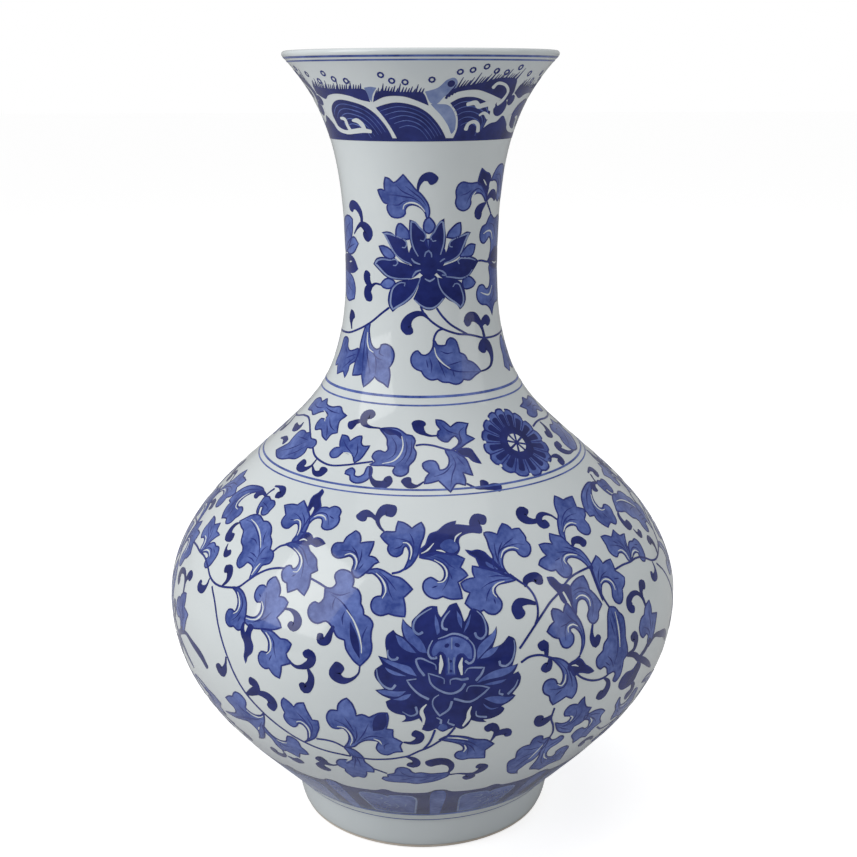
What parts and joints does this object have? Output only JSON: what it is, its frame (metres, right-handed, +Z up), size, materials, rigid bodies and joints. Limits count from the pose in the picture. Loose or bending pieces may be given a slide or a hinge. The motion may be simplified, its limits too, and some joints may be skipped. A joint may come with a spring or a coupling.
{
  "type": "vase",
  "caption": "Bottle-shaped porcelain vase with a round belly, waisted neck, flared mouth and low foot ring, painted in cobalt blue under a clear glaze.",
  "frame": {"origin": "centre of the foot ring's resting face, at the bottom of the vase", "axes": "+Z up along the vase's axis of turning; -Y is the side that faces the viewer"},
  "size_m": [0.2552, 0.255, 0.38],
  "materials": {
    "biscuit": "unglazed fired porcelain body, fine-grained and matt",
    "slip": "fired porcelain slip that joins two sections, matt",
    "cobalt": "cobalt-blue brush painting sealed under clear glaze, high gloss",
    "glaze": "clear bluish-white porcelain glaze, high gloss"
  },
  "bodies": {
    "root": {"foot_ring": "biscuit", "lower_belly": "biscuit", "upper_belly": "biscuit", "shoulder": "biscuit", "neck": "biscuit", "mouth": "biscuit", "foot_slip": "slip", "belly_slip": "slip", "shoulder_slip": "slip", "neck_slip": "slip", "mouth_slip": "slip", "painted_lines": "cobalt", "outer_glaze": "glaze", "inner_glaze": "glaze", "base_glaze": "glaze"}
  },
  "joints": []
}
